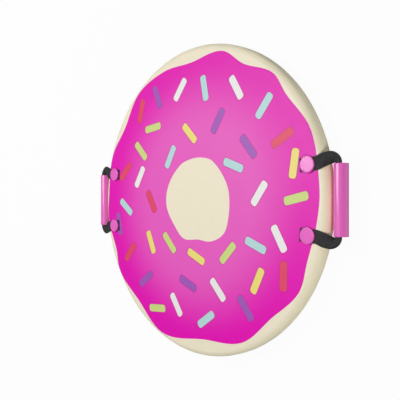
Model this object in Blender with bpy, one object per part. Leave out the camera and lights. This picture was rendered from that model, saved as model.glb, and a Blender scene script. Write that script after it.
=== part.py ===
"""Round foam snow sled with a webbing handle on each side, lying on its slick underside, deck up.

Metres, +Z up. The origin is on the ground under the middle of the disc, and the handles are at -X and +X.
Each handle swings about a line parallel to Y, and its grip turns about its own axis.
"""

import math

import bmesh
import bpy
from mathutils import Vector
from mathutils.geometry import interpolate_bezier

# Disc
DISC_RADIUS = 0.330
DISC_THICKNESS = 0.038
DECK_EDGE_RADIUS = 0.012
BASE_EDGE_RADIUS = 0.016
SKIN_WALL = 0.0015
BASE_SHEET_WALL = 0.002
PRINT_MARGIN = 0.007

# Rivets: a cap with a barrel on the deck, and a cap with a barbed post below
CAP_RADIUS = 0.0155
CAP_WALL = 0.0032
CAP_EDGE_RADIUS = 0.0018
BARREL_RADIUS = 0.005
BARREL_BORE_RADIUS = 0.0034
BARREL_ROOF = 0.004
LOWER_CAP_RADIUS = 0.0135
LOWER_CAP_WALL = 0.0018
LOWER_CAP_EDGE_RADIUS = 0.0009
LOWER_CAP_RECESS = 0.0008
LOWER_CAP_LAND = 0.0025
POST_LENGTH = 0.016
POST_BARB_DEPTH = 0.0006
POST_BARBS = 3

# Handles: webbing through a tube
STRAP_WIDTH = 0.0254
STRAP_THICKNESS = 0.0014
STRAP_END_MARGIN = 0.002
STRAP_TURN_REACH = 0.0121
STRAP_TURN_RISE = 0.0115
GRIP_LENGTH = 0.127
GRIP_RADIUS = 0.013
GRIP_WALL = 0.002
GRIP_END_RADIUS = 0.0008
GRIP_MOUTH_MARGIN = 0.0008
GRIP_AXIS_DROP = 0.0135
HAND_GAP = 0.007
FOLD_MARGIN = 0.005

# Fits
CLEARANCE = 0.0003
OVERRUN = 0.005
MERGE_DISTANCE = 0.000001

# Angles in degrees
TAB_TILT = 4
LOBE_TILT = 13
CURL_LEAN = 31
FLAT_CURL = 0.1
SHARP_EDGE = 35

# Places that follow from the sizes
BASE_SHEET_RADIUS = DISC_RADIUS - BASE_EDGE_RADIUS - CLEARANCE
RIVET_REACH = BASE_SHEET_RADIUS - LOWER_CAP_LAND - CLEARANCE - LOWER_CAP_RADIUS
RIVET_Y = GRIP_LENGTH / 2
RIVET_X = math.sqrt(RIVET_REACH**2 - RIVET_Y**2)
DECK_Z = DISC_THICKNESS
PRINT_RADIUS = DISC_RADIUS - DECK_EDGE_RADIUS - PRINT_MARGIN
STRAP_MID_Z = DECK_Z + CLEARANCE + STRAP_THICKNESS / 2
CAP_UNDER_Z = DECK_Z + 2 * CLEARANCE + STRAP_THICKNESS
LOWER_CAP_TOP_Z = LOWER_CAP_RECESS + LOWER_CAP_WALL
RECESS_TOP_Z = LOWER_CAP_TOP_Z + CLEARANCE
FOLD_X = RIVET_X + CAP_RADIUS + FOLD_MARGIN
GRIP_X = DISC_RADIUS + HAND_GAP + GRIP_RADIUS
GRIP_Z = DECK_Z - GRIP_AXIS_DROP
GRIP_BORE_RADIUS = GRIP_RADIUS - GRIP_WALL

# Facets
DISC_STEPS = 80
EDGE_STEPS = 4
SMALL_EDGE_STEPS = 3
CAP_STEPS = 24
GRIP_STEPS = 32
STRAP_TURN_STEPS = 10
STRAP_LOBE_STEPS = 7
STRAP_CROSS_STEPS = 6

# Shares
LOBE_START_SHARE = 0.27
LOBE_END_SHARE = 0.25


def clear_scene():
    for obj in list(bpy.data.objects):
        bpy.data.objects.remove(obj, do_unlink=True)


def linear(level):
    """One 0 to 255 display level as the linear value that a shader takes."""
    value = level / 255
    return value / 12.92 if value <= 0.04045 else ((value + 0.055) / 1.055) ** 2.4


def make_material(name, display_colour, roughness):
    material = bpy.data.materials.new(name)
    material.use_nodes = True
    shader = material.node_tree.nodes["Principled BSDF"]
    shader.inputs["Base Color"].default_value = [linear(level) for level in display_colour] + [1]
    shader.inputs["Roughness"].default_value = roughness
    shader.inputs["Metallic"].default_value = 0
    return material


def make_object(name, mesh, materials, parent=None):
    obj = bpy.data.objects.new(name, mesh)
    bpy.context.scene.collection.objects.link(obj)
    for material in materials:
        if material.name not in mesh.materials:
            mesh.materials.append(material)
    obj.parent = parent
    return obj


def make_empty(name, location, turn):
    empty = bpy.data.objects.new(name, None)
    empty.location = location
    empty.rotation_euler = (0, 0, turn)
    bpy.context.scene.collection.objects.link(empty)
    return empty


def arc(centre_r, centre_z, radius, start, end, steps):
    """Points of an arc in the profile's plane, with angles in degrees from the outward direction."""
    points = []
    for step in range(steps + 1):
        angle = math.radians(start + (end - start) * step / steps)
        points.append((centre_r + radius * math.cos(angle), centre_z + radius * math.sin(angle)))
    return points


def turned_mesh(name, profile, steps, closed=False):
    """Turn a profile of (radius, height) points about Z. An open profile starts and ends on the axis."""
    bm = bmesh.new()
    verts = [bm.verts.new((radius, 0, height)) for radius, height in profile]
    edges = [bm.edges.new(pair) for pair in zip(verts, verts[1:])]
    if closed:
        edges.append(bm.edges.new((verts[-1], verts[0])))
    bmesh.ops.spin(
        bm,
        geom=verts + edges,
        cent=(0, 0, 0),
        axis=(0, 0, 1),
        angle=2 * math.pi,
        steps=steps,
        use_merge=True,
    )
    bmesh.ops.remove_doubles(bm, verts=bm.verts, dist=MERGE_DISTANCE)
    bmesh.ops.recalc_face_normals(bm, faces=bm.faces)
    mesh = bpy.data.meshes.new(name)
    bm.to_mesh(mesh)
    bm.free()
    mesh.shade_smooth()
    mesh.set_sharp_from_angle(angle=math.radians(SHARP_EDGE))
    return mesh


def disc_side(inset):
    """The disc's outline from the deck's flat to the underside's flat, at a distance inside its surface."""
    deck_edge = arc(
        DISC_RADIUS - DECK_EDGE_RADIUS,
        DECK_Z - DECK_EDGE_RADIUS,
        DECK_EDGE_RADIUS - inset,
        90,
        0,
        EDGE_STEPS,
    )
    base_edge = arc(
        DISC_RADIUS - BASE_EDGE_RADIUS, BASE_EDGE_RADIUS, BASE_EDGE_RADIUS - inset, 0, -90, EDGE_STEPS
    )
    return deck_edge + base_edge


def make_top_skin(materials):
    """Printed film bonded over the deck, round the edge and in under it to the slick sheet."""
    outside = [(0, DECK_Z), (PRINT_RADIUS, DECK_Z)] + disc_side(0)
    inside = disc_side(SKIN_WALL)[::-1] + [(0, DECK_Z - SKIN_WALL)]
    mesh = turned_mesh("top_skin", outside + inside, DISC_STEPS)
    skin = make_object("top_skin", mesh, materials)
    for face in mesh.polygons:
        middle = face.center
        on_deck = face.normal.z > 0 and math.hypot(middle.x, middle.y) < PRINT_RADIUS
        face.material_index = 1 if on_deck else 0
    return skin


def make_foam_core(material):
    """Closed-cell foam disc that fills the skin and the slick sheet."""
    inset = SKIN_WALL + CLEARANCE
    flat_z = BASE_SHEET_WALL + CLEARANCE
    flat_radius = DISC_RADIUS - BASE_EDGE_RADIUS
    profile = [(0, DECK_Z - inset)] + disc_side(inset) + [(flat_radius, flat_z), (0, flat_z)]
    return make_object("foam_core", turned_mesh("foam_core", profile, DISC_STEPS), [material])


def make_slick_base(material):
    """Hard sheet bonded over the flat underside, which slides on the snow."""
    profile = [(0, BASE_SHEET_WALL), (BASE_SHEET_RADIUS, BASE_SHEET_WALL), (BASE_SHEET_RADIUS, 0), (0, 0)]
    return make_object("slick_base", turned_mesh("slick_base", profile, DISC_STEPS), [material])


def rivet_places():
    places = []
    for side, side_name in ((-1, "left"), (1, "right")):
        for end, end_name in ((1, "front"), (-1, "rear")):
            places.append((f"{side_name}_{end_name}", side * RIVET_X, end * RIVET_Y))
    return places


def make_upper_cap_mesh():
    """Round cap with a soft edge, and a hollow barrel that runs down through the foam."""
    top_z = CAP_UNDER_Z + CAP_WALL
    barrel_end_z = LOWER_CAP_TOP_Z + CLEARANCE
    edge = CAP_RADIUS - CAP_EDGE_RADIUS
    profile = [(0, top_z)]
    profile += arc(edge, top_z - CAP_EDGE_RADIUS, CAP_EDGE_RADIUS, 90, 0, SMALL_EDGE_STEPS)
    profile += [
        (CAP_RADIUS, CAP_UNDER_Z),
        (BARREL_RADIUS, CAP_UNDER_Z),
        (BARREL_RADIUS, barrel_end_z),
        (BARREL_BORE_RADIUS, barrel_end_z),
        (BARREL_BORE_RADIUS, DECK_Z - BARREL_ROOF),
        (0, DECK_Z - BARREL_ROOF),
    ]
    return turned_mesh("upper_cap", profile, CAP_STEPS)


def make_lower_cap_mesh():
    """Round cap sunk in the underside, with a barbed post that holds in the barrel."""
    post_radius = BARREL_BORE_RADIUS - CLEARANCE
    root_radius = post_radius - POST_BARB_DEPTH
    post_top_z = LOWER_CAP_TOP_Z + POST_LENGTH
    pitch = POST_LENGTH / (POST_BARBS + 1)
    edge = LOWER_CAP_RADIUS - LOWER_CAP_EDGE_RADIUS
    profile = [(0, post_top_z), (root_radius, post_top_z)]
    for barb in range(POST_BARBS):
        under_z = post_top_z - pitch * (barb + 1)
        profile += [(post_radius, under_z), (root_radius, under_z)]
    profile += [
        (root_radius, LOWER_CAP_TOP_Z),
        (LOWER_CAP_RADIUS, LOWER_CAP_TOP_Z),
    ]
    profile += arc(
        edge, LOWER_CAP_RECESS + LOWER_CAP_EDGE_RADIUS, LOWER_CAP_EDGE_RADIUS, 0, -90, SMALL_EDGE_STEPS
    )
    profile += [(0, LOWER_CAP_RECESS)]
    return turned_mesh("lower_cap", profile, CAP_STEPS)


def make_rivet_cutters():
    """Guides in the shape of a rivet's stepped hole: a barrel's bore above a cap's recess."""
    hole_radius = BARREL_RADIUS + CLEARANCE
    recess_radius = LOWER_CAP_RADIUS + CLEARANCE
    profile = [
        (0, CAP_UNDER_Z + OVERRUN),
        (hole_radius, CAP_UNDER_Z + OVERRUN),
        (hole_radius, RECESS_TOP_Z),
        (recess_radius, RECESS_TOP_Z),
        (recess_radius, -OVERRUN),
        (0, -OVERRUN),
    ]
    mesh = turned_mesh("rivet_hole", profile, CAP_STEPS)
    cutters = []
    for place, x, y in rivet_places():
        cutter = make_object(f"rivet_hole_{place}", mesh, [])
        cutter.location = (x, y, 0)
        cutter.hide_render = True
        cutter.display_type = "WIRE"
        cutters.append(cutter)
    return cutters


def cut(obj, cutters):
    for cutter in cutters:
        boolean = obj.modifiers.new(cutter.name, "BOOLEAN")
        boolean.operation = "DIFFERENCE"
        boolean.solver = "EXACT"
        boolean.object = cutter


def strap_curl_radius():
    """Radius of the webbing's middle where it lies against the bore of the grip."""
    return GRIP_BORE_RADIUS - CLEARANCE - STRAP_THICKNESS / 2


def strap_plan():
    """Points in plan from the middle of the grip to the webbing's end, for the half towards +Y."""
    tab = Vector((math.cos(math.radians(TAB_TILT)), math.sin(math.radians(TAB_TILT)), 0))
    lobe = Vector((math.cos(math.radians(LOBE_TILT)), math.sin(math.radians(LOBE_TILT)), 0))
    turn_y = GRIP_LENGTH / 2 + GRIP_MOUTH_MARGIN
    turn_x = GRIP_X - STRAP_TURN_REACH
    turn_end = math.pi / 2 + math.atan2(STRAP_TURN_REACH * lobe.y, STRAP_TURN_RISE * lobe.x)
    points = [(GRIP_X, 0)]
    for step in range(STRAP_TURN_STEPS + 1):
        angle = turn_end * step / STRAP_TURN_STEPS
        points.append(
            (turn_x + STRAP_TURN_REACH * math.cos(angle), turn_y + STRAP_TURN_RISE * math.sin(angle))
        )
    rivet = Vector((RIVET_X, RIVET_Y, 0))
    start = Vector((*points[-1], 0))
    end = rivet + tab * CAP_RADIUS
    span = (start - end).length
    lobe_points = interpolate_bezier(
        start,
        start - lobe * span * LOBE_START_SHARE,
        end + tab * span * LOBE_END_SHARE,
        end,
        STRAP_LOBE_STEPS + 1,
    )
    points += [tuple(point.xy) for point in lobe_points[1:]]
    tab_end = rivet - tab * (CAP_RADIUS + STRAP_END_MARGIN)
    points.append(tuple(tab_end.xy))
    return points


def strap_stations():
    """The webbing's crown line from end to end: each point with how far it has come on to the deck."""
    crown_z = GRIP_Z + strap_curl_radius()
    lift_x = math.sqrt((DISC_RADIUS - DECK_EDGE_RADIUS) ** 2 - RIVET_Y**2)
    half = []
    for x, y in strap_plan():
        way = min((GRIP_X - x) / (GRIP_X - lift_x), 1)
        on_deck = way * way * (3 - 2 * way)
        half.append((Vector((x, y, crown_z + (STRAP_MID_Z - crown_z) * on_deck)), on_deck))
    mirrored = [(Vector((point.x, -point.y, point.z)), on_deck) for point, on_deck in half[:0:-1]]
    return mirrored + half


def strap_ring(point, heading, on_deck):
    """Section of the webbing: flat on the deck, curled against the bore inside the grip."""
    full = STRAP_WIDTH / 2 / strap_curl_radius()
    half_angle = math.radians(FLAT_CURL) + (full - math.radians(FLAT_CURL)) * (1 - on_deck)
    radius = STRAP_WIDTH / 2 / half_angle
    lean = math.radians(CURL_LEAN) * (1 - on_deck)
    across = heading.cross(Vector((0, 0, 1))).normalized()
    up = across.cross(heading).normalized()
    normal = up * math.cos(lean) - across * math.sin(lean)
    side = across * math.cos(lean) + up * math.sin(lean)
    centre = point - normal * radius + (normal - up) * strap_curl_radius() * (1 - on_deck)
    ring = []
    for face_radius, direction in (
        (radius + STRAP_THICKNESS / 2, 1),
        (radius - STRAP_THICKNESS / 2, -1),
    ):
        for step in range(STRAP_CROSS_STEPS + 1):
            angle = direction * half_angle * (2 * step / STRAP_CROSS_STEPS - 1)
            ring.append(centre + side * face_radius * math.sin(angle) + normal * face_radius * math.cos(angle))
    return ring


def make_strap_mesh():
    """Webbing of one handle, in the space of its fold line."""
    fold = Vector((FOLD_X, 0, STRAP_MID_Z))
    stations = strap_stations()
    bm = bmesh.new()
    rings = []
    for index, (point, on_deck) in enumerate(stations):
        before = stations[max(index - 1, 0)][0]
        after = stations[min(index + 1, len(stations) - 1)][0]
        heading = (after - before).normalized()
        rings.append([bm.verts.new(corner - fold) for corner in strap_ring(point, heading, on_deck)])
    for ring, following in zip(rings, rings[1:]):
        for index in range(len(ring)):
            beside = (index + 1) % len(ring)
            bm.faces.new((ring[index], ring[beside], following[beside], following[index]))
    bm.faces.new(rings[0][::-1])
    bm.faces.new(rings[-1])
    bmesh.ops.recalc_face_normals(bm, faces=bm.faces)
    mesh = bpy.data.meshes.new("strap")
    bm.to_mesh(mesh)
    bm.free()
    mesh.shade_smooth()
    mesh.set_sharp_from_angle(angle=math.radians(SHARP_EDGE))
    return mesh


def make_grip_mesh():
    """Smooth tube with softened ends, turned about Z."""
    half = GRIP_LENGTH / 2
    outer = GRIP_RADIUS - GRIP_END_RADIUS
    profile = arc(outer, half - GRIP_END_RADIUS, GRIP_END_RADIUS, 90, 0, SMALL_EDGE_STEPS)
    profile += arc(outer, GRIP_END_RADIUS - half, GRIP_END_RADIUS, 0, -90, SMALL_EDGE_STEPS)
    profile += [(GRIP_BORE_RADIUS, -half), (GRIP_BORE_RADIUS, half)]
    return turned_mesh("grip", profile, GRIP_STEPS, closed=True)


def make_handles(webbing, grip_plastic, cutters):
    """Each handle hangs from an empty on its fold line, and the grip's origin is on its own axis."""
    strap_mesh = make_strap_mesh()
    grip_mesh = make_grip_mesh()
    for side, side_name in ((-1, "left"), (1, "right")):
        turn = math.pi if side < 0 else 0
        fold = make_empty(f"{side_name}_fold_line", (side * FOLD_X, 0, STRAP_MID_Z), turn)
        strap = make_object(f"strap_{side_name}", strap_mesh, [webbing], fold)
        cut(strap, cutters)
        grip = make_object(f"grip_{side_name}", grip_mesh, [grip_plastic], fold)
        grip.location = (GRIP_X - FOLD_X, 0, GRIP_Z - STRAP_MID_Z)
        grip.rotation_euler = (math.pi / 2, 0, 0)


def make_rivets(cap_plastic):
    upper_mesh = make_upper_cap_mesh()
    lower_mesh = make_lower_cap_mesh()
    for place, x, y in rivet_places():
        for name, mesh in (("upper_cap", upper_mesh), ("lower_cap", lower_mesh)):
            cap = make_object(f"{name}_{place}", mesh, [cap_plastic])
            cap.location = (x, y, 0)


def main():
    clear_scene()
    dough = make_material("dough_cream_film", (232, 222, 200), 0.45)
    icing = make_material("icing_pink_film", (221, 40, 180), 0.35)
    foam = make_material("white_foam", (240, 238, 232), 0.8)
    slick = make_material("slick_sheet", (236, 236, 234), 0.25)
    webbing = make_material("black_webbing", (38, 38, 39), 0.75)
    grip_plastic = make_material("pink_grip_plastic", (226, 112, 192), 0.3)
    cap_plastic = make_material("pink_cap_plastic", (224, 118, 190), 0.4)
    cutters = make_rivet_cutters()
    cut(make_top_skin([dough, icing]), cutters)
    cut(make_foam_core(foam), cutters)
    cut(make_slick_base(slick), cutters)
    make_rivets(cap_plastic)
    make_handles(webbing, grip_plastic, cutters)


main()
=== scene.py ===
"""Looks of a round foam snow sled, built on its fixed frame: deck up, with a handle at -X and at +X."""

import math

import bmesh
import bpy
from mathutils import Matrix, Vector
from mathutils.geometry import delaunay_2d_cdt, interpolate_bezier


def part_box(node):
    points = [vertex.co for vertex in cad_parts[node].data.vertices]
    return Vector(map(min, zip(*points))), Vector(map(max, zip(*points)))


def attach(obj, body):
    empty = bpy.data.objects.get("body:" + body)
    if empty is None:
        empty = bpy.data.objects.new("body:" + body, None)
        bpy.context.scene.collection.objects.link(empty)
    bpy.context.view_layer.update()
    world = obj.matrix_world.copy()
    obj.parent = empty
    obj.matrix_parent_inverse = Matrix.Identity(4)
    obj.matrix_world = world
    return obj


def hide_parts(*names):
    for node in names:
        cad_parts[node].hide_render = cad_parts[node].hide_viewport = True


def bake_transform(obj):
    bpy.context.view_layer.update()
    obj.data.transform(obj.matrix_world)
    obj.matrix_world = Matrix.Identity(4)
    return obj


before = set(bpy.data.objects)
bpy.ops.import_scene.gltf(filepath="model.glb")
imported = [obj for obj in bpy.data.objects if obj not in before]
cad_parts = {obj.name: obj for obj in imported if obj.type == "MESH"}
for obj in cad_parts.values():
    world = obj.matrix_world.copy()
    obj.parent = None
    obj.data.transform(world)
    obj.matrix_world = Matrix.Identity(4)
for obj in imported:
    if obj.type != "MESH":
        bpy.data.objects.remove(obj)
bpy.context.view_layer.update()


# Camera
# It looks across the deck from over the right handle, which comes nearest, with +Y up in the picture. Its
# place and lens are fitted to the disc's outline, the caps and the handles.
CAMERA_DISTANCE = 1.2569
CAMERA_SWING = 46.47
CAMERA_AIM = 46.05
CAMERA_LENS = 52.96

deck_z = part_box("top_skin")[1].z


def placed(name, data):
    """A new object of the scene that holds this data."""
    made = bpy.data.objects.new(name, data)
    bpy.context.scene.collection.objects.link(made)
    return made


camera_data = bpy.data.cameras.new("camera")
camera_data.lens = CAMERA_LENS
camera = placed("camera", camera_data)
camera.location = (
    CAMERA_DISTANCE * math.sin(math.radians(CAMERA_SWING)),
    0,
    deck_z + CAMERA_DISTANCE * math.cos(math.radians(CAMERA_SWING)),
)
camera.rotation_euler = (0, math.radians(CAMERA_AIM), 0)
bpy.context.scene.camera = camera
bpy.context.scene.view_settings.view_transform = "Standard"


# Studio floor and light
# A pale floor shows white to the camera, keeps a soft shadow and clears into the room at its far sides. One
# lamp glints on the deck like a window, and one overhead glints along the grips. The rest fill in without
# glints: two broad ones, a small one that gives the caps their crisp shadows, and a low one at the right.
FLOOR_SIZE = 8.0
FLOOR_DROP = 0.0004
FLOOR_GREY = 0.55
FLOOR_WHITE_SHARE = 0.95
ROOM_LEVEL = 0.07
LAMP_DISTANCE = 2.4
LAMPS = (
    # name, azimuth from +X and height above the deck's plane in degrees, width, tallness, level, glints
    ("window_lamp", 156, 64, 0.80, 1.30, 0.33, True),
    ("strip_lamp", 180, 85, 1.40, 1.00, 0.09, True),
    ("top_lamp", 50, 52, 1.60, 1.60, 0.13, False),
    ("left_lamp", 177, 50, 1.60, 1.60, 0.19, False),
    ("key_lamp", 142, 50, 0.26, 0.26, 0.29, False),
    ("side_lamp", -26, 33, 0.70, 0.25, 0.46, False),
)


class Signal:
    """An output of a node, or a bare tree. Arithmetic adds Math nodes, and node() any other kind."""

    def __init__(self, tree, socket=None):
        self.tree = tree
        self.socket = socket

    def node(self, kind, settings=None, inputs=None, output=0):
        made = self.tree.nodes.new(kind)
        for name, value in (settings or {}).items():
            setattr(made, name, value)
        for key, value in (inputs or {}).items():
            if isinstance(value, Signal):
                self.tree.links.new(value.socket, made.inputs[key])
            else:
                made.inputs[key].default_value = value
        return None if output is None else Signal(self.tree, made.outputs[output])

    def maths(self, operation, *values):
        return self.node("ShaderNodeMath", {"operation": operation}, dict(enumerate((self, *values))))

    def __add__(self, other):
        return self.maths("ADD", other)

    def __radd__(self, other):
        return self.maths("ADD", other)

    def __sub__(self, other):
        return self.maths("SUBTRACT", other)

    def __rsub__(self, other):
        return self.node("ShaderNodeMath", {"operation": "SUBTRACT"}, {0: other, 1: self})

    def __mul__(self, other):
        return self.maths("MULTIPLY", other)

    def __rmul__(self, other):
        return self.maths("MULTIPLY", other)

    def __truediv__(self, other):
        return self.maths("DIVIDE", other)

    def __gt__(self, other):
        return self.maths("GREATER_THAN", other)


def linear(levels):
    """Display levels from 0 to 255 as the linear colour that a node takes."""
    shares = [level / 255 for level in levels]
    return [s / 12.92 if s <= 0.04045 else ((s + 0.055) / 1.055) ** 2.4 for s in shares] + [1]


def blank_tree(owner):
    """The emptied node tree of a material or a world."""
    owner.use_nodes = True
    owner.node_tree.nodes.clear()
    return Signal(owner.node_tree)


world = bpy.data.worlds.new("studio")
bpy.context.scene.world = world
room = blank_tree(world)
camera_ray = room.node("ShaderNodeLightPath", output="Is Camera Ray")
room_light = room.node("ShaderNodeBackground", inputs={"Color": (1, 1, 1, 1), "Strength": ROOM_LEVEL})
white = room.node("ShaderNodeBackground", inputs={"Color": (1, 1, 1, 1), "Strength": 1})
seen = room.node("ShaderNodeMixShader", inputs={0: camera_ray, 1: room_light, 2: white})
room.node("ShaderNodeOutputWorld", inputs={"Surface": seen}, output=None)

floor_finish = bpy.data.materials.new("floor")
ground = blank_tree(floor_finish)
camera_ray = ground.node("ShaderNodeLightPath", output="Is Camera Ray")
place = ground.node("ShaderNodeTexCoord", output="Object")
reach = ground.node("ShaderNodeVectorMath", {"operation": "LENGTH"}, {0: place}, "Value") / (FLOOR_SIZE / 2)
white_share = FLOOR_WHITE_SHARE + (1 - FLOOR_WHITE_SHARE) * reach.maths("MINIMUM", 1)
paint = ground.node("ShaderNodeBsdfDiffuse", inputs={"Color": (FLOOR_GREY, FLOOR_GREY, FLOOR_GREY, 1)})
white = ground.node("ShaderNodeEmission", inputs={"Color": (1, 1, 1, 1), "Strength": 1})
seen = ground.node("ShaderNodeMixShader", inputs={0: camera_ray * white_share, 1: paint, 2: white})
ground.node("ShaderNodeOutputMaterial", inputs={"Surface": seen}, output=None)

floor_mesh = bpy.data.meshes.new("floor")
half = FLOOR_SIZE / 2
floor_mesh.from_pydata(
    [(x, y, -FLOOR_DROP) for x, y in ((-half, -half), (half, -half), (half, half), (-half, half))],
    [],
    [(0, 1, 2, 3)],
)
floor_mesh.materials.append(floor_finish)
floor = placed("floor", floor_mesh)

for name, azimuth, height, wide, tall, level, glints in LAMPS:
    lamp_data = bpy.data.lights.new(name, "AREA")
    lamp_data.shape = "RECTANGLE"
    lamp_data.size = wide
    lamp_data.size_y = tall
    lamp_data.energy = level * math.pi**2 * LAMP_DISTANCE**2
    lamp = placed(name, lamp_data)
    level_way = math.cos(math.radians(height))
    way = Vector(
        (
            level_way * math.cos(math.radians(azimuth)),
            level_way * math.sin(math.radians(azimuth)),
            math.sin(math.radians(height)),
        )
    )
    lamp.location = way * LAMP_DISTANCE
    lamp.rotation_euler = way.to_track_quat("Z", "Y").to_euler()
    lamp.visible_glossy = glints


# Printed film
# A plastic film with icing and sprinkles printed on a dough ground, bonded hot over the foam's deck. It is
# drawn down round the edge and tucked in under the rim, as far as the slick sheet. The print has a thin dark
# line round each sprinkle, and the middle, the icing's hole, is bare.
FILM_WALL = 0.0015
DECK_EDGE_RADIUS = 0.012
BASE_EDGE_RADIUS = 0.016
ROUND_STEPS = 256
BEND_STEPS = 12
GUARD_BAND = 0.0006
PLAN_TOLERANCE = 1e-7
CREASE = 35
BARREL_HOLE_RADIUS = 0.0053
BARREL_HOLE_STEPS = 24
ICING_STEPS = 8
ICING_EDGE = (
    # azimuth in degrees, share of the disc's radius
    (4, 0.956), (23, 0.974), (39, 0.941), (49, 0.965), (63, 0.913), (76, 0.953), (93, 0.898), (110, 0.935),
    (128, 0.968), (145, 0.926), (161, 0.974), (180, 0.964), (189, 0.976), (203, 0.942), (213, 0.976),
    (230, 0.935), (250, 0.971), (275, 0.893), (295, 0.944), (313, 0.922), (328, 0.964), (339, 0.937),
    (352, 0.944),
)
ICING_HOLE = (
    (8, 0.297), (30, 0.287), (58, 0.288), (76, 0.279), (98, 0.271), (124, 0.275), (160, 0.286), (188, 0.291),
    (222, 0.269), (246, 0.279), (275, 0.256), (298, 0.296), (320, 0.325), (340, 0.309),
)
BAR_LENGTH = 0.0556
BAR_WIDTH = 0.0166
BAR_CORNER = 0.0060
BAR_LINE = 0.0013
BAR_CORNER_STEPS = 5
DOUGH = (225, 216, 192)
# Painted light: lighter, yellower dough over the rounded edge and down the side wall.
DOUGH_WALL_PAINTED_LIGHT = (239, 230, 198)
DOUGH_WALL_PAINTED_LIGHT_FADE = (0.978, 1.003)
ICING_MIDDLE = (217, 84, 180)
ICING_RIM = (214, 0, 168)
ICING_FADE = (0.45, 0.91)
INKS = {
    "line": (188, 36, 134),
    "white": (221, 221, 219),
    "aqua": (169, 204, 205),
    "red": (212, 66, 95),
    "yellow": (222, 208, 112),
    "lime": (191, 205, 122),
    "purple": (151, 82, 173),
}
FILM_MOTTLE_SCALE = 38
FILM_MOTTLE_TINT = (205, 198, 202)
FILM_MOTTLE_SHARE = 0.10
FILM_GRAIN_SCALE = 720
FILM_GRAIN_SHARE = 0.6
FILM_STREAK_SCALE = 260
FILM_RELIEF = 0.0002
FILM_RELIEF_STRENGTH = 0.25
FILM_GLOSS = 0.33
FILM_ROUGHNESS = 0.35
FILM_MOTTLE_DULLING = 0.06
FILM_RUBBED_DULLING = 0.1
BARS = (
    # ink, place as shares of the disc's radius along X and Y, turn in degrees
    ("white", -0.151, 0.734, 52), ("aqua", 0.080, 0.714, 101), ("white", 0.354, 0.681, 121),
    ("aqua", 0.572, 0.544, 51), ("purple", -0.385, 0.713, 113), ("red", -0.565, 0.637, 75),
    ("lime", -0.435, 0.505, 7), ("yellow", -0.059, 0.437, 135), ("purple", 0.200, 0.493, 57),
    ("purple", 0.452, 0.317, 130), ("red", 0.704, 0.349, 29), ("yellow", 0.786, 0.202, 81),
    ("lime", -0.569, 0.351, 135), ("aqua", -0.250, 0.292, 60), ("red", -0.753, 0.209, 43),
    ("white", -0.583, 0.165, 58), ("aqua", 0.330, 0.212, 160), ("red", -0.452, -0.010, 120),
    ("aqua", -0.744, -0.051, 143), ("purple", -0.830, -0.178, 103), ("yellow", -0.456, -0.295, 114),
    ("lime", -0.259, -0.289, 133), ("red", -0.694, -0.380, 48), ("yellow", 0.003, -0.366, 156),
    ("lime", 0.284, -0.325, 46), ("white", 0.535, 0.038, 53), ("lime", 0.799, 0.009, 12),
    ("white", 0.681, -0.218, 120), ("aqua", 0.507, -0.265, 159), ("yellow", 0.521, -0.473, 64),
    ("red", 0.712, -0.428, 89), ("purple", -0.511, -0.559, 36), ("purple", -0.075, -0.548, 158),
    ("white", 0.199, -0.559, 133), ("white", -0.189, -0.701, 124), ("lime", -0.386, -0.750, 5),
    ("aqua", 0.094, -0.759, 35), ("purple", 0.429, -0.644, 129),
)

film_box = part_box("top_skin")
disc_radius = film_box[1].x
flat_reach = disc_radius - DECK_EDGE_RADIUS
side_height = deck_z - DECK_EDGE_RADIUS - BASE_EDGE_RADIUS
bends = (
    flat_reach,
    flat_reach + DECK_EDGE_RADIUS * math.pi / 2,
    flat_reach + DECK_EDGE_RADIUS * math.pi / 2 + side_height,
    flat_reach + DECK_EDGE_RADIUS * math.pi / 2 + side_height + BASE_EDGE_RADIUS * math.pi / 2,
)


def wrap(reach):
    """Radius and height on the disc of a point of the film, from its distance from the deck's middle."""
    if reach <= bends[0]:
        return reach, deck_z
    if reach <= bends[1]:
        turn = (reach - bends[0]) / DECK_EDGE_RADIUS
        return (
            flat_reach + DECK_EDGE_RADIUS * math.sin(turn),
            deck_z - DECK_EDGE_RADIUS * (1 - math.cos(turn)),
        )
    if reach <= bends[2]:
        return disc_radius, deck_z - DECK_EDGE_RADIUS - (reach - bends[1])
    turn = (reach - bends[2]) / BASE_EDGE_RADIUS
    return (
        disc_radius - BASE_EDGE_RADIUS * (1 - math.cos(turn)),
        BASE_EDGE_RADIUS * (1 - math.sin(turn)),
    )


def circle(radius, steps, x=0, y=0):
    """Corners of a ring about a place."""
    turns = [2 * math.pi * step / steps for step in range(steps)]
    return [Vector((x + radius * math.cos(turn), y + radius * math.sin(turn))) for turn in turns]


def flowing_outline(places):
    """Closed outline that runs smoothly through places given by azimuth and share of the radius."""
    corners = [
        Vector((math.cos(math.radians(azimuth)), math.sin(math.radians(azimuth)), 0)) * share * disc_radius
        for azimuth, share in places
    ]
    outline = []
    for index, corner in enumerate(corners):
        before = corners[index - 1]
        after = corners[(index + 1) % len(corners)]
        beyond = corners[(index + 2) % len(corners)]
        reach = (after - corner).length / 3
        leaving = corner + (after - before).normalized() * reach
        arriving = after - (beyond - corner).normalized() * reach
        outline += interpolate_bezier(corner, leaving, arriving, after, ICING_STEPS + 1)[:-1]
    return [point.xy for point in outline]


def bar_outline(x, y, turn, grow):
    """Rounded bar about a place, grown on all sides by the width of its line."""
    ways = ((1, 1), (-1, 1), (-1, -1), (1, -1))
    along = Vector((math.cos(turn), math.sin(turn)))
    across = Vector((-math.sin(turn), math.cos(turn)))
    outline = []
    for quarter, (end, side) in enumerate(ways):
        corner = Vector((x, y)) + along * end * (BAR_LENGTH / 2 - BAR_CORNER)
        corner += across * side * (BAR_WIDTH / 2 - BAR_CORNER)
        for step in range(BAR_CORNER_STEPS + 1):
            angle = math.pi / 2 * (quarter + step / BAR_CORNER_STEPS)
            outward = along * math.cos(angle) + across * math.sin(angle)
            outline.append(corner + outward * (BAR_CORNER + grow))
    return outline


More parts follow.
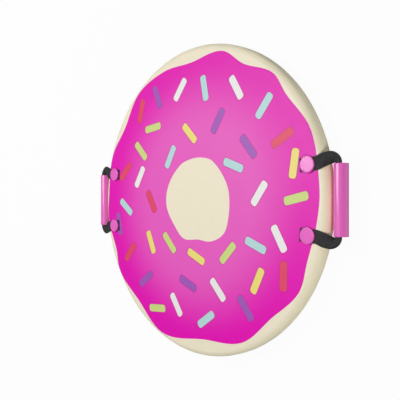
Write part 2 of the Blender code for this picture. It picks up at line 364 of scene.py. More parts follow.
def dressed(material, tree, shadow_tint=None, **sockets):
    """The material, its tree closed with a Principled shader that has these socket values. Where the plastic
    lets some light through, its shadow takes a tint."""
    named = {key.replace("_", " "): value for key, value in sockets.items()}
    shader = tree.node("ShaderNodeBsdfPrincipled", inputs=named)
    if shadow_tint:
        to_lamp = tree.node("ShaderNodeLightPath", output="Is Shadow Ray")
        let_through = tree.node("ShaderNodeBsdfTransparent", inputs={"Color": linear(shadow_tint)})
        shader = tree.node("ShaderNodeMixShader", inputs={0: to_lamp, 1: shader, 2: let_through})
    tree.node("ShaderNodeOutputMaterial", inputs={"Surface": shader}, output=None)
    return material


def noise(place, scale, **inputs):
    """Noise over an object's coordinates or a map."""
    return place.node("ShaderNodeTexNoise", inputs={"Vector": place, "Scale": scale, **inputs})


def tinted(share, base, tint, blend="MIX"):
    """A colour blended with a tint by a share that changes over the piece."""
    settings = {"data_type": "RGBA", "blend_type": blend}
    return share.node("ShaderNodeMix", settings, {0: share, 6: base, 7: tint}, output=2)


def bumped(relief, strength, depth):
    """A surface's normals, tilted by its relief."""
    return relief.node("ShaderNodeBump", inputs={"Height": relief, "Strength": strength, "Distance": depth})


def film_finish(name, levels, outer_levels=None, fade=(0, 1)):
    """Printed film: fine embossed grain, a rubbed rim, and ink that varies a little and may change outwards,
    between two shares of the disc's radius. On the icing the change is printed; on the dough it is painted
    light that makes the rounded edge and the side wall lighter and yellower."""
    material = bpy.data.materials.new(name)
    tree = blank_tree(material)
    place = tree.node("ShaderNodeTexCoord", output="Object")
    mottle = noise(place, FILM_MOTTLE_SCALE, Detail=4)
    grain = tree.node("ShaderNodeTexVoronoi", inputs={"Vector": place, "Scale": FILM_GRAIN_SCALE})
    streak = noise(place, FILM_STREAK_SCALE, Detail=3)
    height = tree.node("ShaderNodeSeparateXYZ", inputs={"Vector": place}, output="Z")
    reach = tree.node("ShaderNodeVectorMath", {"operation": "LENGTH"}, {0: place}, "Value") / disc_radius
    outward = tree.node(
        "ShaderNodeMapRange",
        {"interpolation_type": "SMOOTHSTEP"},
        {"Value": reach, "From Min": fade[0], "From Max": fade[1]},
    )
    # For the dough the outer colour is painted light on the side wall; for the icing it is a printed fade.
    ink = tinted(outward, linear(levels), linear(outer_levels or levels))
    relief = grain * FILM_GRAIN_SHARE + streak * (1 - FILM_GRAIN_SHARE)
    rubbed = (deck_z - height) / deck_z
    return dressed(
        material,
        tree,
        Base_Color=tinted(mottle * FILM_MOTTLE_SHARE, ink, linear(FILM_MOTTLE_TINT), "MULTIPLY"),
        Roughness=FILM_ROUGHNESS + mottle * FILM_MOTTLE_DULLING + rubbed * FILM_RUBBED_DULLING,
        Specular_IOR_Level=FILM_GLOSS,
        Normal=bumped(relief, FILM_RELIEF_STRENGTH, FILM_RELIEF),
    )


finishes = {
    "dough": film_finish("dough_film_painted_wall_light", DOUGH, DOUGH_WALL_PAINTED_LIGHT, DOUGH_WALL_PAINTED_LIGHT_FADE),
    "icing": film_finish("icing_film", ICING_MIDDLE, ICING_RIM, ICING_FADE),
}
for ink, levels in INKS.items():
    finishes[ink] = film_finish(f"{ink}_ink_film", levels)
finish_order = list(finishes)

rivet_boxes = [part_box(name) for name in sorted(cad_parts) if name.startswith("upper_cap")]
rivet_places = [((low.x + high.x) / 2, (low.y + high.y) / 2) for low, high in rivet_boxes]

# The print is laid out flat in rings and outlines, and the last one over a face gives its ink. The sheet is
# then wrapped over the disc.
layers = [("dough", circle(bends[3], ROUND_STEPS))]
reaches = [bends[2] + (bends[3] - bends[2]) * (1 - step / BEND_STEPS) for step in range(1, BEND_STEPS + 1)]
reaches += [bends[0] + (bends[1] - bends[0]) * (1 - step / BEND_STEPS) for step in range(BEND_STEPS + 1)]
reaches += [bends[0] - GUARD_BAND]
layers += [("dough", circle(reach, ROUND_STEPS)) for reach in reaches]
layers.append(("icing", flowing_outline(ICING_EDGE)))
layers.append(("dough", flowing_outline(ICING_HOLE)))
for ink, x_share, y_share, turn in BARS:
    place = (x_share * disc_radius, y_share * disc_radius, math.radians(turn))
    layers.append(("line", bar_outline(*place, BAR_LINE)))
    layers.append((ink, bar_outline(*place, 0)))
layers += [("hole", circle(BARREL_HOLE_RADIUS, BARREL_HOLE_STEPS, x, y)) for x, y in rivet_places]

corners = []
loops = []
for ink, outline in layers:
    loops.append(list(range(len(corners), len(corners) + len(outline))))
    corners += outline
plan, _, faces, _, _, origins = delaunay_2d_cdt(corners, [], loops, 1, PLAN_TOLERANCE)

film_mesh = bpy.data.meshes.new("printed_film")
points = []
for corner in plan:
    radius, z = wrap(corner.length)
    points.append((*(corner * (radius / max(corner.length, PLAN_TOLERANCE))), z))
tops = [layers[max(origin)][0] for origin in origins]
kept = [(face, top) for face, top in zip(faces, tops) if top != "hole"]
film_mesh.from_pydata(points, [], [face for face, top in kept])
for top in finish_order:
    film_mesh.materials.append(finishes[top])
film_mesh.polygons.foreach_set("material_index", [finish_order.index(top) for face, top in kept])
film_mesh.shade_smooth()
film_bm = bmesh.new()
film_bm.from_mesh(film_mesh)
bmesh.ops.delete(film_bm, geom=[v for v in film_bm.verts if not v.link_faces], context="VERTS")
film_bm.to_mesh(film_mesh)
film_bm.free()
film = placed("printed_film", film_mesh)
wall = film.modifiers.new("wall", "SOLIDIFY")
wall.thickness = FILM_WALL
wall.offset = -1


def settle(piece, name):
    """The piece's mesh with its modifiers worked in and its hard edges kept crisp."""
    graph = bpy.context.evaluated_depsgraph_get()
    mesh = bpy.data.meshes.new_from_object(piece.evaluated_get(graph))
    mesh.name = name
    mesh.shade_smooth()
    mesh.set_sharp_from_angle(angle=math.radians(CREASE))
    piece.modifiers.clear()
    piece.data = mesh
    return piece


settle(film, "printed_film")
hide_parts("top_skin")
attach(film, "sled")


# Rivets
# Each is moulded in two halves: a round cap whose hollow barrel goes down through the webbing and the foam,
# and a cap below with a barbed post that is pressed up into the barrel. Four of them hold the webbing.
CAP_WALL = 0.0032
CAP_EDGE = 0.0018
CAP_UNDER_CHAMFER = 0.0002
CAP_DISH = 0.0003
CAP_DISH_SHARE = 0.80
CAP_DISH_SLOPE = 0.0003
BARREL_RADIUS = 0.005
BARREL_BORE = 0.0034
BARREL_ROOF = 0.004
LOWER_CAP_WALL = 0.0018
LOWER_CAP_EDGE = 0.0009
POST_RADIUS = 0.0031
POST_ROOT_RADIUS = 0.0025
POST_BARBS = 3
SEAT_GAP = 0.0003
RIVET_STEPS = 64
CORNER_STEPS = 6
MERGE_DISTANCE = 1e-6
CAP_COLOUR = (222, 99, 188)
CAP_GLOSS = 0.55
MOULDED_ROUGHNESS = 0.16
MOULD_SKIN_SCALE = 900
MOULD_RELIEF = 0.00008
MOULD_RELIEF_STRENGTH = 0.15
MOULD_SHIFT_SCALE = 60
MOULD_SHIFT_TINT = (214, 196, 208)
MOULD_SHIFT_SHARE = 0.12
MOULD_SHIFT_DULLING = 0.06
SCUFF_SCALE = 140
SCUFF_DISTORTION = 2.5
SCUFF_THRESHOLD = 0.62
SCUFF_DULLING = 0.05

cap_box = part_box("upper_cap_right_front")
lower_cap_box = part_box("lower_cap_right_front")
cap_radius = (cap_box[1].x - cap_box[0].x) / 2
lower_cap_radius = (lower_cap_box[1].x - lower_cap_box[0].x) / 2
rivet_x = (cap_box[0].x + cap_box[1].x) / 2
rivet_y = (cap_box[0].y + cap_box[1].y) / 2
lower_cap_top = lower_cap_box[0].z + LOWER_CAP_WALL


def rounded(radius, z, size, start, end):
    """Rounded corner of a turned profile, with its angles in degrees from straight out."""
    turns = [math.radians(start + (end - start) * step / CORNER_STEPS) for step in range(CORNER_STEPS + 1)]
    return [(radius + size * math.cos(turn), z + size * math.sin(turn)) for turn in turns]


def upper_cap_profile():
    """Half of the upper cap's section: a dished face, a rounded edge and the hollow barrel."""
    top = cap_box[1].z
    under = top - CAP_WALL
    barrel_end = lower_cap_top + SEAT_GAP
    dish_radius = cap_radius * CAP_DISH_SHARE
    profile = [(0, top - CAP_DISH), (dish_radius, top - CAP_DISH), (dish_radius + CAP_DISH_SLOPE, top)]
    profile += rounded(cap_radius - CAP_EDGE, top - CAP_EDGE, CAP_EDGE, 90, 0)
    profile += [
        (cap_radius - CAP_UNDER_CHAMFER, under),
        (BARREL_RADIUS, under),
        (BARREL_RADIUS, barrel_end),
        (BARREL_BORE, barrel_end),
        (BARREL_BORE, deck_z - BARREL_ROOF),
        (0, deck_z - BARREL_ROOF),
    ]
    return profile


def lower_cap_profile():
    """Half of the lower cap's section, with the barbs of its post."""
    post_top = lower_cap_box[1].z
    pitch = (post_top - lower_cap_top) / (POST_BARBS + 1)
    profile = [(0, post_top), (POST_ROOT_RADIUS, post_top)]
    for barb in range(1, POST_BARBS + 1):
        profile += [(POST_RADIUS, post_top - pitch * barb), (POST_ROOT_RADIUS, post_top - pitch * barb)]
    profile += [(POST_ROOT_RADIUS, lower_cap_top), (lower_cap_radius, lower_cap_top)]
    edge_z = lower_cap_box[0].z + LOWER_CAP_EDGE
    profile += rounded(lower_cap_radius - LOWER_CAP_EDGE, edge_z, LOWER_CAP_EDGE, 0, -90)
    profile += [(0, lower_cap_box[0].z)]
    return profile


def shape_tree(name, inputs):
    """A geometry node tree with named inputs, as a signal for its nodes and the inputs by name."""
    tree = bpy.data.node_groups.new(name, "GeometryNodeTree")
    tree.interface.new_socket("Geometry", in_out="OUTPUT", socket_type="NodeSocketGeometry")
    for label, kind in {"Geometry": "NodeSocketGeometry", **inputs}.items():
        tree.interface.new_socket(label, in_out="INPUT", socket_type=kind)
    group = tree.nodes.new("NodeGroupInput")
    given = {socket.name: Signal(tree, socket) for socket in group.outputs if socket.name}
    return Signal(tree), given


def shaped(name, mesh, tree, values):
    """A new piece: what a geometry node tree makes of a mesh with these values of its inputs."""
    piece = placed(name, mesh)
    modifier = piece.modifiers.new("shape", "NODES")
    modifier.node_group = tree.tree
    for item in tree.tree.interface.items_tree:
        if item.in_out == "INPUT" and item.name in values:
            modifier[item.identifier] = values[item.name]
    return settle(piece, name)


rivet_tree, given = shape_tree(
    "rivet_set",
    {
        "Across Deck": "NodeSocketFloat",
        "Along Handle": "NodeSocketFloat",
        "Turning Radius": "NodeSocketFloat",
        "Round Steps": "NodeSocketInt",
        "Finish": "NodeSocketMaterial",
    },
)
profile = rivet_tree.node("GeometryNodeMeshToCurve", inputs={"Mesh": given["Geometry"]})
ring = rivet_tree.node(
    "GeometryNodeCurvePrimitiveCircle",
    inputs={"Resolution": given["Round Steps"], "Radius": given["Turning Radius"]},
)
turned = rivet_tree.node("GeometryNodeCurveToMesh", inputs={"Curve": ring, "Profile Curve": profile})
turned = rivet_tree.node(
    "GeometryNodeMergeByDistance", inputs={"Geometry": turned, "Distance": MERGE_DISTANCE}
)
places = rivet_tree.node(
    "GeometryNodeMeshGrid",
    inputs={
        "Size X": given["Across Deck"],
        "Size Y": given["Along Handle"],
        "Vertices X": 2,
        "Vertices Y": 2,
    },
)
rivets = rivet_tree.node("GeometryNodeInstanceOnPoints", inputs={"Points": places, "Instance": turned})
rivets = rivet_tree.node("GeometryNodeRealizeInstances", inputs={"Geometry": rivets})
rivets = rivet_tree.node("GeometryNodeSetMaterial", inputs={"Geometry": rivets, "Material": given["Finish"]})
rivet_tree.node("NodeGroupOutput", inputs={"Geometry": rivets}, output=None)


def rivet_set(name, profile, finish):
    """Four like turned pieces, one at each rivet."""
    turning_radius = max(radius for radius, z in profile)
    line = bpy.data.meshes.new(name)
    line.from_pydata(
        [(radius - turning_radius, -z, 0) for radius, z in profile],
        [(index, index + 1) for index in range(len(profile) - 1)],
        [],
    )
    values = {
        "Across Deck": 2 * rivet_x,
        "Along Handle": 2 * rivet_y,
        "Turning Radius": turning_radius,
        "Round Steps": RIVET_STEPS,
        "Finish": finish,
    }
    return shaped(name, line, rivet_tree, values)


def moulded_finish(name, levels, **sockets):
    """Moulded plastic: the mould's fine skin, small shifts in its colour, and hairline scuffs."""
    material = bpy.data.materials.new(name)
    tree = blank_tree(material)
    place = tree.node("ShaderNodeTexCoord", output="Object")
    skin = noise(place, MOULD_SKIN_SCALE, Detail=2)
    shift = noise(place, MOULD_SHIFT_SCALE, Detail=3)
    scuffs = noise(place, SCUFF_SCALE, Detail=6, Distortion=SCUFF_DISTORTION) > SCUFF_THRESHOLD
    return dressed(
        material,
        tree,
        Base_Color=tinted(shift * MOULD_SHIFT_SHARE, linear(levels), linear(MOULD_SHIFT_TINT), "MULTIPLY"),
        Roughness=MOULDED_ROUGHNESS + shift * MOULD_SHIFT_DULLING + scuffs * SCUFF_DULLING,
        Normal=bumped(skin, MOULD_RELIEF_STRENGTH, MOULD_RELIEF),
        **sockets,
    )


cap_finish = moulded_finish("cap_plastic", CAP_COLOUR, Specular_IOR_Level=CAP_GLOSS)
for name, profile in (("upper_cap", upper_cap_profile()), ("lower_cap", lower_cap_profile())):
    caps = rivet_set(f"{name}s", profile, cap_finish)
    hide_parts(*[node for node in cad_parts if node.startswith(name)])
    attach(caps, "sled")


# Foam core
# A disc cut from closed-cell foam, which fills the film and the slick sheet and floats the rider over bumps.
# A stepped hole goes through it at each rivet.
BASE_SHEET_WALL = 0.002
FOAM_GAP = 0.0003
CUT_OVERRUN = 0.005
FOAM_COLOUR = (240, 238, 232)
# Painted shade for the hollows of the cut cells.
FOAM_HOLLOW_PAINTED_SHADE = (206, 202, 192)
FOAM_CELL_SCALE = 900
FOAM_CELL_SHADE_SHARE = 0.25
FOAM_TINT_SCALE = 30
FOAM_TINT_SHARE = 0.1
FOAM_RELIEF = 0.0003
FOAM_RELIEF_STRENGTH = 0.5
FOAM_ROUGHNESS = 0.75
FOAM_TINT_DULLING = 0.15


def turned_mesh(name, profile, steps, closed=False):
    """A profile of (radius, height) points turned about Z. An open one starts and ends on the axis."""
    bm = bmesh.new()
    line = [bm.verts.new((radius, 0, z)) for radius, z in profile]
    edges = [bm.edges.new(pair) for pair in zip(line, line[1:])]
    if closed:
        edges.append(bm.edges.new((line[-1], line[0])))
    bmesh.ops.spin(
        bm, geom=line + edges, cent=(0, 0, 0), axis=(0, 0, 1), angle=2 * math.pi, steps=steps, use_merge=True
    )
    bmesh.ops.remove_doubles(bm, verts=bm.verts, dist=MERGE_DISTANCE)
    bmesh.ops.recalc_face_normals(bm, faces=bm.faces)
    mesh = bpy.data.meshes.new(name)
    bm.to_mesh(mesh)
    bm.free()
    return mesh


def foam_finish(name, levels):
    """Closed-cell foam: a skin of small cells and pale walls, with painted shade in the hollow of each cell.
    """
    material = bpy.data.materials.new(name)
    tree = blank_tree(material)
    place = tree.node("ShaderNodeTexCoord", output="Object")
    cells = tree.node("ShaderNodeTexVoronoi", inputs={"Vector": place, "Scale": FOAM_CELL_SCALE})
    tint = noise(place, FOAM_TINT_SCALE, Detail=3)
    # Painted shade: each cell's hollow is darkened, with a tint that varies at random.
    painted_hollow_shade_and_tint = (1 - cells) * FOAM_CELL_SHADE_SHARE + tint * FOAM_TINT_SHARE
    return dressed(
        material,
        tree,
        Base_Color=tinted(painted_hollow_shade_and_tint, linear(levels), linear(FOAM_HOLLOW_PAINTED_SHADE)),
        Roughness=FOAM_ROUGHNESS + tint * FOAM_TINT_DULLING,
        Normal=bumped(cells, FOAM_RELIEF_STRENGTH, FOAM_RELIEF),
    )


inset = FILM_WALL + FOAM_GAP
foam_profile = [(0, deck_z - inset)]
foam_profile += rounded(flat_reach, deck_z - DECK_EDGE_RADIUS, DECK_EDGE_RADIUS - inset, 90, 0)
foam_profile += rounded(
    disc_radius - BASE_EDGE_RADIUS, BASE_EDGE_RADIUS, BASE_EDGE_RADIUS - inset, 0, -90
)
foam_foot = BASE_SHEET_WALL + FOAM_GAP
foam_profile += [(disc_radius - BASE_EDGE_RADIUS, foam_foot), (0, foam_foot)]
foam = placed("foam_disc", turned_mesh("foam_disc", foam_profile, ROUND_STEPS // 2))
foam.data.materials.append(foam_finish("closed_cell_foam", FOAM_COLOUR))
recess_top = lower_cap_top + SEAT_GAP
hole_profile = [
    (0, deck_z + CUT_OVERRUN),
    (BARREL_RADIUS + SEAT_GAP, deck_z + CUT_OVERRUN),
    (BARREL_RADIUS + SEAT_GAP, recess_top),
    (lower_cap_radius + SEAT_GAP, recess_top),
    (lower_cap_radius + SEAT_GAP, -CUT_OVERRUN),
    (0, -CUT_OVERRUN),
]
holes = rivet_set("rivet_holes", hole_profile, None)
cut = foam.modifiers.new("rivet_holes", "BOOLEAN")
cut.operation = "DIFFERENCE"
cut.solver = "EXACT"
cut.object = holes
settle(foam, "foam_disc")
bpy.data.objects.remove(holes)
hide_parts("foam_core")
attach(foam, "sled")


# Slick sheet
# A hard plastic sheet bonded over the flat underside, which slides on the snow. It is as the frame has it,
# and wears long fine scratches along the way that the sled travels.
SLICK_COLOUR = (236, 236, 234)
SLICK_WORN = (196, 198, 200)
SLICK_DRAWN_SHARE = 0.03
SCRATCH_SCALE = 420
SCRATCH_THRESHOLD = 0.64
SCRATCH_SHARE = 0.25
SCRATCH_DULLING = 0.15
HAZE_SCALE = 9
HAZE_SHARE = 0.12
HAZE_DULLING = 0.1
SLICK_RELIEF = 0.0001
SLICK_RELIEF_STRENGTH = 0.2
SLICK_ROUGHNESS = 0.24


def slick_finish(name, levels):
    """Hard sheet: smooth and a little waxy, with long fine scratches along Y."""
    material = bpy.data.materials.new(name)
    tree = blank_tree(material)
    place = tree.node("ShaderNodeTexCoord", output="Object")
    drawn = tree.node("ShaderNodeMapping", inputs={"Vector": place, "Scale": (1, SLICK_DRAWN_SHARE, 1)})
    scratches = noise(drawn, SCRATCH_SCALE, Detail=5)
    haze = noise(place, HAZE_SCALE, Detail=4)
    worn = (scratches > SCRATCH_THRESHOLD) * SCRATCH_SHARE + haze * HAZE_SHARE
    return dressed(
        material,
        tree,
        Base_Color=tinted(worn, linear(levels), linear(SLICK_WORN)),
        Roughness=SLICK_ROUGHNESS + scratches * SCRATCH_DULLING + haze * HAZE_DULLING,
        Normal=bumped(scratches, SLICK_RELIEF_STRENGTH, SLICK_RELIEF),
    )


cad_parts["slick_base"].data.materials.clear()
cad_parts["slick_base"].data.materials.append(slick_finish("slick_sheet", SLICK_COLOUR))


# Webbing handles
# One length of black woven webbing for each handle, cut square and hot-sealed at both ends. It lies flat
# under its two caps, lifts over the deck's edge, turns, and curls to run through the grip's bore.
WEBBING_WIDTH = 0.0254
WEBBING_THICKNESS = 0.0014
WEBBING_TURN_REACH = 0.0121
WEBBING_TURN_RISE = 0.0115
WEBBING_END_MARGIN = 0.002
GRIP_WALL = 0.002
GRIP_MOUTH_MARGIN = 0.0008
WEBBING_GAP = 0.0003
TAB_TILT = 4
LOBE_TILT = 13
CURL_LEAN = 31
FLAT_CURL = 0.1
LOBE_START_SHARE = 0.27
LOBE_END_SHARE = 0.25
TURN_STEPS = 24
LOBE_STEPS = 28
STRAIGHT_STEPS = 24
TAB_STEPS = 14
SECTION_STEPS = 44
SELVEDGE_SHARE = 0.3
WARP_PITCH = 0.0015
WEFT_PITCH = 0.0011
SELVEDGE_WIDTH = 0.0018
MELTED_LENGTH = 0.0012
PIN_STEPS = 32
WEBBING_COLOUR = (60, 60, 61)
# Painted shade for the hollows between the threads.
WEBBING_HOLLOW_PAINTED_SHADE = (18, 18, 19)
RIB_SHARE = 0.65
HOLLOW_PAINTED_SHADE_SHARE = 0.7
# Painted sheen: along the selvedge, part of the hollows' painted shade is taken back.
SELVEDGE_PAINTED_SHEEN_SHARE = 0.5
THREAD_DRAWN_SHARE = 0.15
FIBRE_SCALE = 5200
FIBRE_SHARE = 0.3
FIBRE_DULLING = 0.2
CORD_SCALE = 520
CORD_MIDDLE = 0.4
CORD_CONTRAST = 1.2
MELTED_POLISH = 0.25
WEBBING_RELIEF = 0.0003
WEBBING_RELIEF_STRENGTH = 0.8
WEBBING_ROUGHNESS = 0.62

grip_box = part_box("grip_right")
grip_x = (grip_box[0].x + grip_box[1].x) / 2
grip_z = (grip_box[0].z + grip_box[1].z) / 2
grip_radius = (grip_box[1].x - grip_box[0].x) / 2
grip_half = grip_box[1].y
curl_radius = grip_radius - GRIP_WALL - WEBBING_GAP - WEBBING_THICKNESS / 2


def webbing_plan():
    """Plan of the webbing from the middle of the grip to its end, for the half towards +Y."""
    turn_x = grip_x - WEBBING_TURN_REACH
    turn_y = grip_half + GRIP_MOUTH_MARGIN
    tab = Vector((math.cos(math.radians(TAB_TILT)), math.sin(math.radians(TAB_TILT)), 0))
    lobe = Vector((math.cos(math.radians(LOBE_TILT)), math.sin(math.radians(LOBE_TILT)), 0))
    turn_end = math.pi / 2 + math.atan2(WEBBING_TURN_REACH * lobe.y, WEBBING_TURN_RISE * lobe.x)
    points = [Vector((grip_x, turn_y * step / STRAIGHT_STEPS, 0)) for step in range(STRAIGHT_STEPS)]
    for step in range(TURN_STEPS + 1):
        angle = turn_end * step / TURN_STEPS
        across = WEBBING_TURN_REACH * math.cos(angle)
        points.append(Vector((turn_x + across, turn_y + WEBBING_TURN_RISE * math.sin(angle), 0)))
    rivet = Vector((rivet_x, rivet_y, 0))
    start = points[-1]
    end = rivet + tab * cap_radius
    span = (start - end).length
    leaving = start - lobe * span * LOBE_START_SHARE
    arriving = end + tab * span * LOBE_END_SHARE
    points += interpolate_bezier(start, leaving, arriving, end, LOBE_STEPS + 1)[1:]
    tab_end = rivet - tab * (cap_radius + WEBBING_END_MARGIN)
    points += [end.lerp(tab_end, step / TAB_STEPS) for step in range(1, TAB_STEPS + 1)]
    return points


def webbing_line():
    """The webbing's crown line from end to end, with how far each point has come on to the deck."""
    crown_z = grip_z + curl_radius
    flat_z = deck_z + WEBBING_GAP + WEBBING_THICKNESS / 2
    lift_x = math.sqrt((disc_radius - DECK_EDGE_RADIUS) ** 2 - rivet_y**2)
    half_line = []
    for point in webbing_plan():
        way = min((grip_x - point.x) / (grip_x - lift_x), 1)
        on_deck = way * way * (3 - 2 * way)
        half_line.append((Vector((point.x, point.y, crown_z + (flat_z - crown_z) * on_deck)), on_deck))
    return [(Vector((p.x, -p.y, p.z)), on_deck) for p, on_deck in half_line[:0:-1]] + half_line


def attribute(tree, name, kind):
    """What was stored under this name."""
    return tree.node("GeometryNodeInputNamedAttribute", {"data_type": kind}, {"Name": name})


def stored(geometry, name, kind, value, domain="POINT"):
    """The geometry with a value kept under this name."""
    return geometry.node(
        "GeometryNodeStoreNamedAttribute",
        {"data_type": kind, "domain": domain},
        {"Geometry": geometry, "Name": name, "Value": value},
    )


def vector(tree, operation, *values):
    """Vector maths on signals and plain vectors."""
    return tree.node("ShaderNodeVectorMath", {"operation": operation}, dict(enumerate(values)))


def scaled(signal, factor):
    """A vector times a number."""
    return signal.node("ShaderNodeVectorMath", {"operation": "SCALE"}, {0: signal, 3: factor})


web_tree, given = shape_tree(
    "webbing",
    {
        "Width": "NodeSocketFloat",
        "Thickness": "NodeSocketFloat",
        "Curl Radius": "NodeSocketFloat",
        "Curl Lean": "NodeSocketFloat",
        "Section Steps": "NodeSocketInt",
        "Rivet X": "NodeSocketFloat",
        "Rivet Y": "NodeSocketFloat",
        "Hole Radius": "NodeSocketFloat",
        "Finish": "NodeSocketMaterial",
    },
)
# The crown line and the section keep what the sweep is shaped from: where it goes, and how far across the
# webbing and on which face each point lies.
line = web_tree.node("GeometryNodeMeshToCurve", inputs={"Mesh": given["Geometry"]})
line = stored(line, "crown", "FLOAT_VECTOR", web_tree.node("GeometryNodeInputPosition"))
line = stored(line, "heading", "FLOAT_VECTOR", web_tree.node("GeometryNodeInputTangent"))
line = stored(line, "along", "FLOAT", web_tree.node("GeometryNodeSplineParameter", output="Length"))
section = web_tree.node(
    "GeometryNodeCurvePrimitiveCircle", inputs={"Resolution": given["Section Steps"], "Radius": 1}
)
section_place = web_tree.node("GeometryNodeInputPosition")
section_x = web_tree.node("ShaderNodeSeparateXYZ", inputs={"Vector": section_place}, output="X")
section_y = web_tree.node("ShaderNodeSeparateXYZ", inputs={"Vector": section_place}, output="Y")
face = section_y.maths("SIGN") * section_y.maths("ABSOLUTE").maths("POWER", SELVEDGE_SHARE)
section = stored(section, "across", "FLOAT", section_x * -1)
section = stored(section, "face", "FLOAT", face)
band = web_tree.node(
    "GeometryNodeCurveToMesh", inputs={"Curve": line, "Profile Curve": section, "Fill Caps": True}
)
# Each section is bent round an arc below the crown. On the deck the arc is all but flat. In the grip it is
# the curl, leaning inwards, and it unrolls on the way from one to the other.
heading = attribute(web_tree, "heading", "FLOAT_VECTOR")
crown = attribute(web_tree, "crown", "FLOAT_VECTOR")
curled = 1 - attribute(web_tree, "on_deck", "FLOAT")
across = attribute(web_tree, "across", "FLOAT")
side = vector(web_tree, "NORMALIZE", vector(web_tree, "CROSS_PRODUCT", heading, (0, 0, 1)))
up = vector(web_tree, "NORMALIZE", vector(web_tree, "CROSS_PRODUCT", side, heading))
lean = given["Curl Lean"] * curled
normal = vector(web_tree, "SUBTRACT", scaled(up, lean.maths("COSINE")), scaled(side, lean.maths("SINE")))
side = vector(web_tree, "ADD", scaled(side, lean.maths("COSINE")), scaled(up, lean.maths("SINE")))
full_turn = given["Width"] / 2 / given["Curl Radius"]
half_turn = math.radians(FLAT_CURL) + (full_turn - math.radians(FLAT_CURL)) * curled
radius = given["Width"] / 2 / half_turn
centre = vector(web_tree, "SUBTRACT", crown, scaled(normal, radius))
rise = scaled(vector(web_tree, "SUBTRACT", normal, up), given["Curl Radius"] * curled)
centre = vector(web_tree, "ADD", centre, rise)
reach = radius + attribute(web_tree, "face", "FLOAT") * given["Thickness"] / 2
turn = across * half_turn
place = vector(web_tree, "ADD", centre, scaled(side, reach * turn.maths("SINE")))
place = vector(web_tree, "ADD", place, scaled(normal, reach * turn.maths("COSINE")))
band = web_tree.node("GeometryNodeSetPosition", inputs={"Geometry": band, "Position": place})
weave_place = web_tree.node(
    "ShaderNodeCombineXYZ",
    inputs={"X": attribute(web_tree, "along", "FLOAT"), "Y": across * given["Width"] / 2},
)
band = stored(band, "UVMap", "FLOAT2", weave_place, "CORNER")
# A hole for the barrel of each rivet.
pin = web_tree.node(
    "GeometryNodeMeshCylinder",
    inputs={"Vertices": PIN_STEPS, "Radius": given["Hole Radius"], "Depth": 4 * CUT_OVERRUN},
)
pin_places = [
    web_tree.node("ShaderNodeCombineXYZ", inputs={"X": given["Rivet X"], "Y": y, "Z": deck_z})
    for y in (given["Rivet Y"] * -1, given["Rivet Y"])
]
pins = web_tree.node(
    "GeometryNodeMeshLine",
    {"mode": "END_POINTS"},
    {"Count": 2, "Start Location": pin_places[0], "Offset": pin_places[1]},
)
pins = web_tree.node("GeometryNodeInstanceOnPoints", inputs={"Points": pins, "Instance": pin})
pins = web_tree.node("GeometryNodeRealizeInstances", inputs={"Geometry": pins})
band = web_tree.node(
    "GeometryNodeMeshBoolean",
    {"operation": "DIFFERENCE", "solver": "EXACT"},
    {"Mesh 1": band, "Mesh 2": pins},
)
band = web_tree.node("GeometryNodeSetMaterial", inputs={"Geometry": band, "Material": given["Finish"]})
web_tree.node("NodeGroupOutput", inputs={"Geometry": band}, output=None)


def webbing_finish(name, levels, hollow, length):
    """Plain-woven webbing: ribs of warp crossed by weft, with painted shade in the hollows between them, a
    painted sheen along the selvedge, where less of that shade is laid, and ends melted smooth.
    """
    material = bpy.data.materials.new(name)
    tree = blank_tree(material)
    cloth = tree.node("ShaderNodeUVMap", {"uv_map": "UVMap"})
    along = tree.node("ShaderNodeSeparateXYZ", inputs={"Vector": cloth}, output="X")
    across = tree.node("ShaderNodeSeparateXYZ", inputs={"Vector": cloth}, output="Y")
    rib = across / WARP_PITCH
    odd = rib.maths("FLOOR").maths("PINGPONG", 1)
    arch = (rib.maths("FRACT") * math.pi).maths("SINE").maths("ABSOLUTE")
    float_over = ((along / WEFT_PITCH + odd) * math.pi).maths("SINE")
    weave = arch * (RIB_SHARE + float_over * (1 - RIB_SHARE))
    drawn = tree.node("ShaderNodeMapping", inputs={"Vector": cloth, "Scale": (THREAD_DRAWN_SHARE, 1, 1)})
    fibre = noise(drawn, FIBRE_SCALE, Detail=3)
    cords = noise(drawn, CORD_SCALE, Detail=2)
    selvedge = across.maths("ABSOLUTE") > WEBBING_WIDTH / 2 - SELVEDGE_WIDTH
    from_end = (along - length / 2).maths("ABSOLUTE")
    melted = from_end > length / 2 - MELTED_LENGTH
    # Painted shade in the weave's hollows, less on the selvedge as a painted sheen; cords add a random tone.
    shade = (1 - weave) * (HOLLOW_PAINTED_SHADE_SHARE - selvedge * SELVEDGE_PAINTED_SHEEN_SHARE)
    shade += (cords - CORD_MIDDLE) * CORD_CONTRAST
    relief = (weave + fibre * FIBRE_SHARE + cords) * (1 - melted)
    return dressed(
        material,
        tree,
        Base_Color=tinted(shade, linear(levels), linear(hollow)),
        Roughness=WEBBING_ROUGHNESS + fibre * FIBRE_DULLING - melted * MELTED_POLISH,
        Normal=bumped(relief, WEBBING_RELIEF_STRENGTH, WEBBING_RELIEF),
    )


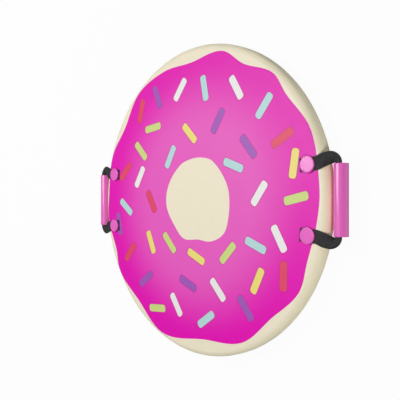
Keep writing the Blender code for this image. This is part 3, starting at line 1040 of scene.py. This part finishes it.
def webbing_handle(name, finish):
    """The right handle's webbing: its line, with how far each point is on the deck, swept and holed."""
    stations = webbing_line()
    crown = [point for point, on_deck in stations]
    shares = [on_deck for point, on_deck in stations]
    line_mesh = bpy.data.meshes.new(name)
    line_mesh.from_pydata(crown, [(index, index + 1) for index in range(len(crown) - 1)], [])
    line_mesh.attributes.new("on_deck", "FLOAT", "POINT").data.foreach_set("value", shares)
    values = {
        "Width": WEBBING_WIDTH,
        "Thickness": WEBBING_THICKNESS,
        "Curl Radius": curl_radius,
        "Curl Lean": math.radians(CURL_LEAN),
        "Section Steps": SECTION_STEPS,
        "Rivet X": rivet_x,
        "Rivet Y": rivet_y,
        "Hole Radius": BARREL_HOLE_RADIUS,
        "Finish": finish,
    }
    return shaped(name, line_mesh, web_tree, values)


crown_points = [point for point, on_deck in webbing_line()]
webbing_length = sum((b - a).length for a, b in zip(crown_points, crown_points[1:]))
woven = webbing_finish("woven_webbing", WEBBING_COLOUR, WEBBING_HOLLOW_PAINTED_SHADE, webbing_length)
for side, way in (("left", -1), ("right", 1)):
    webbing = webbing_handle(f"webbing_{side}", woven)
    webbing.data.transform(Matrix.Rotation(math.pi if side == "left" else 0, 4, "Z"))
    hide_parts(f"strap_{side}")
    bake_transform(webbing)


# Grips
# A smooth tube cut from extruded plastic, with its ends rounded over, loose on the curled webbing so that it
# turns in the hand. The plastic lets some red light through, so the tube's shadow on the side wall is red.
GRIP_END_RADIUS = 0.0008
GRIP_STEPS = 96
GRIP_COLOUR = (224, 103, 186)
GRIP_SHADOW_TINT = (252, 12, 20)
GRIP_GLOSS = 0.85

bore = grip_radius - GRIP_WALL
grip_profile = rounded(grip_radius - GRIP_END_RADIUS, grip_half - GRIP_END_RADIUS, GRIP_END_RADIUS, 0, 90)
grip_profile += rounded(bore + GRIP_END_RADIUS, grip_half - GRIP_END_RADIUS, GRIP_END_RADIUS, 90, 180)
grip_profile += [(radius, -z) for radius, z in reversed(grip_profile)]
grip_finish = moulded_finish(
    "grip_plastic", GRIP_COLOUR, Specular_IOR_Level=GRIP_GLOSS, shadow_tint=GRIP_SHADOW_TINT
)
for side, way in (("left", -1), ("right", 1)):
    grip = placed(f"tube_grip_{side}", turned_mesh("tube_grip", grip_profile, GRIP_STEPS, True))
    grip.data.transform(Matrix.Translation((way * grip_x, 0, grip_z)) @ Matrix.Rotation(math.pi / 2, 4, "X"))
    grip.data.materials.append(grip_finish)
    settle(grip, f"tube_grip_{side}")
    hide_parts(f"grip_{side}")
    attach(grip, f"turning_grip_{side}")
